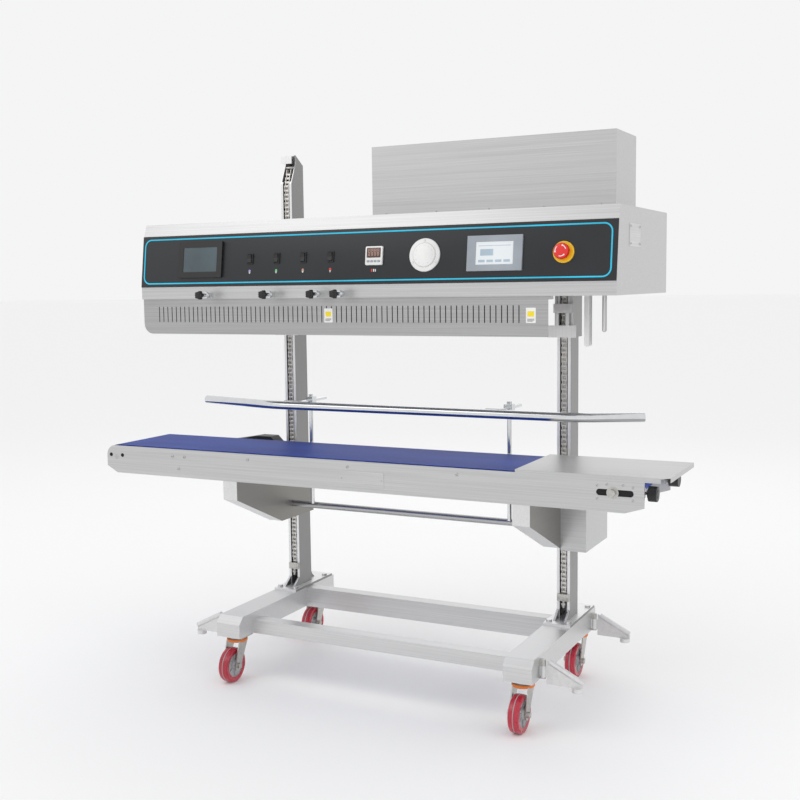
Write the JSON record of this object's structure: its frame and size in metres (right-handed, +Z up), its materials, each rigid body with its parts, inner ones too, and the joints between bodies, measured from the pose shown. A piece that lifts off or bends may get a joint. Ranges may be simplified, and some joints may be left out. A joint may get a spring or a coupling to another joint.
{
  "type": "continuous band sealer",
  "caption": "Floor-standing continuous band sealer: a height-adjustable sealing head with control panel above a belt conveyor with guard rail, on twin columns and a wheeled base.",
  "frame": {"origin": "floor level under the centre of the machine's footprint", "axes": "+X along the conveyor towards the infeed tray, +Y from the operator's side to the back, +Z up"},
  "size_m": [1.7, 0.622, 1.54],
  "materials": {
    "band_ptfe": "matt",
    "belt_blue": "matt",
    "black_plastic": "matt",
    "bright_steel": "satin",
    "chrome": "polished",
    "motor_black": "satin",
    "panel_black": "satin",
    "pu_red": "gloss",
    "roller_steel": "satin",
    "screen_grey": "gloss",
    "stainless": "brushed",
    "stop_red": "gloss",
    "white_plastic": "satin",
    "zinc": "satin"
  },
  "bodies": {
    "stand": {"base_frame": "bright_steel", "lift_columns": "stainless", "lift_chains": "zinc", "base_brackets": "zinc"},
    "conveyor": {"front_side_plate": "stainless", "rear_side_plate": "stainless", "slider_bed": "stainless", "conveyor_belt": "belt_blue", "infeed_tray": "stainless", "support_arms": "stainless", "lift_drive_cover": "stainless", "belt_drive_motor": "motor_black", "clamp_blocks": "stainless"},
    "head": {"head_shell": "stainless", "control_panel": "panel_black", "front_cover": "stainless", "top_housing": "stainless", "left_screen": "screen_grey", "right_screen": "screen_grey", "temperature_controller": "white_plastic", "pressure_gauge": "white_plastic", "sealing_frame": "stainless", "sealing_bands": "band_ptfe", "head_carriages": "stainless", "infeed_guides": "stainless"},
    "caster_fork_left_front": {"caster_fork_left_front": "zinc"},
    "caster_wheel_left_front": {"caster_wheel_left_front": "pu_red"},
    "caster_fork_left_rear": {"caster_fork_left_rear": "zinc"},
    "caster_wheel_left_rear": {"caster_wheel_left_rear": "pu_red"},
    "stabilizer_left_front": {"stabilizer_left_front": "bright_steel"},
    "stabilizer_left_rear": {"stabilizer_left_rear": "bright_steel"},
    "caster_fork_right_front": {"caster_fork_right_front": "zinc"},
    "caster_wheel_right_front": {"caster_wheel_right_front": "pu_red"},
    "caster_fork_right_rear": {"caster_fork_right_rear": "zinc"},
    "caster_wheel_right_rear": {"caster_wheel_right_rear": "pu_red"},
    "stabilizer_right_front": {"stabilizer_right_front": "bright_steel"},
    "stabilizer_right_rear": {"stabilizer_right_rear": "bright_steel"},
    "nose_roller": {"nose_roller": "roller_steel"},
    "tail_roller": {"tail_roller": "roller_steel"},
    "drive_roller": {"drive_roller": "roller_steel"},
    "conveyor_lift_shaft": {"conveyor_lift_shaft": "roller_steel"},
    "head_lift_shaft": {"head_lift_shaft": "roller_steel"},
    "tension_knob_front": {"tension_knob_front": "black_plastic"},
    "tension_knob_rear": {"tension_knob_rear": "black_plastic"},
    "guard_posts": {"guard_posts": "chrome"},
    "guard_rail": {"guard_rail": "chrome"},
    "emergency_stop_button": {"emergency_stop_button": "stop_red"},
    "rocker_switch_1": {"rocker_switch_1": "black_plastic"},
    "rocker_switch_2": {"rocker_switch_2": "black_plastic"},
    "rocker_switch_3": {"rocker_switch_3": "black_plastic"},
    "rocker_switch_4": {"rocker_switch_4": "black_plastic"},
    "pressure_knob_1": {"pressure_knob_1": "black_plastic"},
    "pressure_knob_2": {"pressure_knob_2": "black_plastic"},
    "pressure_knob_3": {"pressure_knob_3": "black_plastic"},
    "pressure_knob_4": {"pressure_knob_4": "black_plastic"},
    "band_pulley_front_left": {"band_pulley_front_left": "roller_steel"},
    "band_pulley_front_right": {"band_pulley_front_right": "roller_steel"},
    "band_pulley_rear_left": {"band_pulley_rear_left": "roller_steel"},
    "band_pulley_rear_right": {"band_pulley_rear_right": "roller_steel"}
  },
  "joints": [
    {"name": "conveyor_lift", "type": "slide", "parent": "stand", "child": "conveyor", "axis": [0, 0, 1], "range_m": [-0.12, 0.04]},
    {"name": "head_lift", "type": "slide", "parent": "stand", "child": "head", "axis": [0, 0, 1], "range_m": [-0.08, 0.08]},
    {"name": "caster_fork_left_front_swivel", "type": "hinge", "parent": "stand", "child": "caster_fork_left_front", "pos_m": [-0.4031, -0.193, 0.115], "axis": [0, 0, 1], "continuous": true},
    {"name": "caster_wheel_left_front_spin", "type": "hinge", "parent": "caster_fork_left_front", "child": "caster_wheel_left_front", "pos_m": [-0.4031, -0.223, 0.05], "axis": [1, 0, 0], "continuous": true},
    {"name": "caster_fork_left_rear_swivel", "type": "hinge", "parent": "stand", "child": "caster_fork_left_rear", "pos_m": [-0.4031, 0.266, 0.115], "axis": [0, 0, 1], "continuous": true},
    {"name": "caster_wheel_left_rear_spin", "type": "hinge", "parent": "caster_fork_left_rear", "child": "caster_wheel_left_rear", "pos_m": [-0.4031, 0.236, 0.05], "axis": [1, 0, 0], "continuous": true},
    {"name": "stabilizer_left_front_fold", "type": "hinge", "parent": "stand", "child": "stabilizer_left_front", "pos_m": [-0.4511, -0.176, 0.15], "axis": [0, 0, 1], "range_deg": [-88, 0]},
    {"name": "stabilizer_left_rear_fold", "type": "hinge", "parent": "stand", "child": "stabilizer_left_rear", "pos_m": [-0.4511, 0.271, 0.15], "axis": [0, 0, 1], "range_deg": [0, 88]},
    {"name": "caster_fork_right_front_swivel", "type": "hinge", "parent": "stand", "child": "caster_fork_right_front", "pos_m": [0.4801, -0.193, 0.115], "axis": [0, 0, 1], "continuous": true},
    {"name": "caster_wheel_right_front_spin", "type": "hinge", "parent": "caster_fork_right_front", "child": "caster_wheel_right_front", "pos_m": [0.4801, -0.223, 0.05], "axis": [1, 0, 0], "continuous": true},
    {"name": "caster_fork_right_rear_swivel", "type": "hinge", "parent": "stand", "child": "caster_fork_right_rear", "pos_m": [0.4801, 0.266, 0.115], "axis": [0, 0, 1], "continuous": true},
    {"name": "caster_wheel_right_rear_spin", "type": "hinge", "parent": "caster_fork_right_rear", "child": "caster_wheel_right_rear", "pos_m": [0.4801, 0.236, 0.05], "axis": [1, 0, 0], "continuous": true},
    {"name": "stabilizer_right_front_fold", "type": "hinge", "parent": "stand", "child": "stabilizer_right_front", "pos_m": [0.5281, -0.176, 0.15], "axis": [0, 0, 1], "range_deg": [0, 88]},
    {"name": "stabilizer_right_rear_fold", "type": "hinge", "parent": "stand", "child": "stabilizer_right_rear", "pos_m": [0.5281, 0.271, 0.15], "axis": [0, 0, 1], "range_deg": [-88, 0]},
    {"name": "nose_roller_spin", "type": "hinge", "parent": "conveyor", "child": "nose_roller", "pos_m": [-0.813, -0.076, 0.635], "axis": [0, 1, 0], "continuous": true},
    {"name": "tail_roller_spin", "type": "hinge", "parent": "conveyor", "child": "tail_roller", "pos_m": [0.7145, -0.076, 0.635], "axis": [0, 1, 0], "continuous": true},
    {"name": "drive_roller_spin", "type": "hinge", "parent": "conveyor", "child": "drive_roller", "pos_m": [-0.49, -0.076, 0.6208], "axis": [0, 1, 0], "continuous": true},
    {"name": "conveyor_lift_shaft_turn", "type": "hinge", "parent": "conveyor", "child": "conveyor_lift_shaft", "pos_m": [0.0385, 0.099, 0.47], "axis": [1, 0, 0], "range_deg": [-180, 180]},
    {"name": "head_lift_shaft_turn", "type": "hinge", "parent": "head", "child": "head_lift_shaft", "pos_m": [0.0385, 0.099, 1.18], "axis": [1, 0, 0], "range_deg": [-180, 180]},
    {"name": "tension_knob_front_turn", "type": "hinge", "parent": "conveyor", "child": "tension_knob_front", "pos_m": [0.8, -0.188, 0.635], "axis": [1, 0, 0], "range_deg": [-360, 360]},
    {"name": "tension_knob_rear_turn", "type": "hinge", "parent": "conveyor", "child": "tension_knob_rear", "pos_m": [0.8, 0.036, 0.635], "axis": [1, 0, 0], "range_deg": [-360, 360]},
    {"name": "guard_height", "type": "slide", "parent": "conveyor", "child": "guard_posts", "axis": [0, 0, 1], "range_m": [-0.05, 0.03]},
    {"name": "guard_reach", "type": "slide", "parent": "guard_posts", "child": "guard_rail", "axis": [0, 1, 0], "range_m": [-0.04, 0.05]},
    {"name": "emergency_stop_press", "type": "slide", "parent": "head", "child": "emergency_stop_button", "axis": [0, 0.9916, -0.1292], "range_m": [0, 0.006], "stiffness_N_per_m": 1000},
    {"name": "rocker_switch_1_rock", "type": "hinge", "parent": "head", "child": "rocker_switch_1", "pos_m": [-0.2855, -0.25312, 1.21739], "axis": [1, 0, 0], "range_deg": [-8, 8]},
    {"name": "rocker_switch_2_rock", "type": "hinge", "parent": "head", "child": "rocker_switch_2", "pos_m": [-0.1999, -0.25312, 1.21739], "axis": [1, 0, 0], "range_deg": [-8, 8]},
    {"name": "rocker_switch_3_rock", "type": "hinge", "parent": "head", "child": "rocker_switch_3", "pos_m": [-0.1161, -0.25312, 1.21739], "axis": [1, 0, 0], "range_deg": [-8, 8]},
    {"name": "rocker_switch_4_rock", "type": "hinge", "parent": "head", "child": "rocker_switch_4", "pos_m": [-0.0321, -0.25312, 1.21739], "axis": [1, 0, 0], "range_deg": [-8, 8]},
    {"name": "pressure_knob_1_turn", "type": "hinge", "parent": "head", "child": "pressure_knob_1", "pos_m": [-0.4215, -0.285, 1.12], "axis": [0, 1, 0], "range_deg": [-360, 360]},
    {"name": "pressure_knob_2_turn", "type": "hinge", "parent": "head", "child": "pressure_knob_2", "pos_m": [-0.2135, -0.285, 1.12], "axis": [0, 1, 0], "range_deg": [-360, 360]},
    {"name": "pressure_knob_3_turn", "type": "hinge", "parent": "head", "child": "pressure_knob_3", "pos_m": [-0.0665, -0.285, 1.12], "axis": [0, 1, 0], "range_deg": [-360, 360]},
    {"name": "pressure_knob_4_turn", "type": "hinge", "parent": "head", "child": "pressure_knob_4", "pos_m": [0.0045, -0.285, 1.12], "axis": [0, 1, 0], "range_deg": [-360, 360]},
    {"name": "band_pulley_front_left_spin", "type": "hinge", "parent": "head", "child": "band_pulley_front_left", "pos_m": [-0.56, -0.1174, 1.047], "axis": [0, 0, 1], "continuous": true},
    {"name": "band_pulley_front_right_spin", "type": "hinge", "parent": "head", "child": "band_pulley_front_right", "pos_m": [0.43, -0.1174, 1.047], "axis": [0, 0, 1], "continuous": true},
    {"name": "band_pulley_rear_left_spin", "type": "hinge", "parent": "head", "child": "band_pulley_rear_left", "pos_m": [-0.56, -0.0346, 1.047], "axis": [0, 0, 1], "continuous": true},
    {"name": "band_pulley_rear_right_spin", "type": "hinge", "parent": "head", "child": "band_pulley_rear_right", "pos_m": [0.43, -0.0346, 1.047], "axis": [0, 0, 1], "continuous": true}
  ],
  "couplings": [
    {"joint": "tail_roller_spin", "follows": "nose_roller_spin", "ratio": 1},
    {"joint": "drive_roller_spin", "follows": "nose_roller_spin", "ratio": 1.7},
    {"joint": "conveyor_lift_shaft_turn", "follows": "conveyor_lift", "rad_per_m": -24.631},
    {"joint": "head_lift_shaft_turn", "follows": "head_lift", "rad_per_m": -24.631},
    {"joint": "band_pulley_front_right_spin", "follows": "band_pulley_front_left_spin", "ratio": 1},
    {"joint": "band_pulley_rear_left_spin", "follows": "band_pulley_front_left_spin", "ratio": -1},
    {"joint": "band_pulley_rear_right_spin", "follows": "band_pulley_front_left_spin", "ratio": -1}
  ]
}
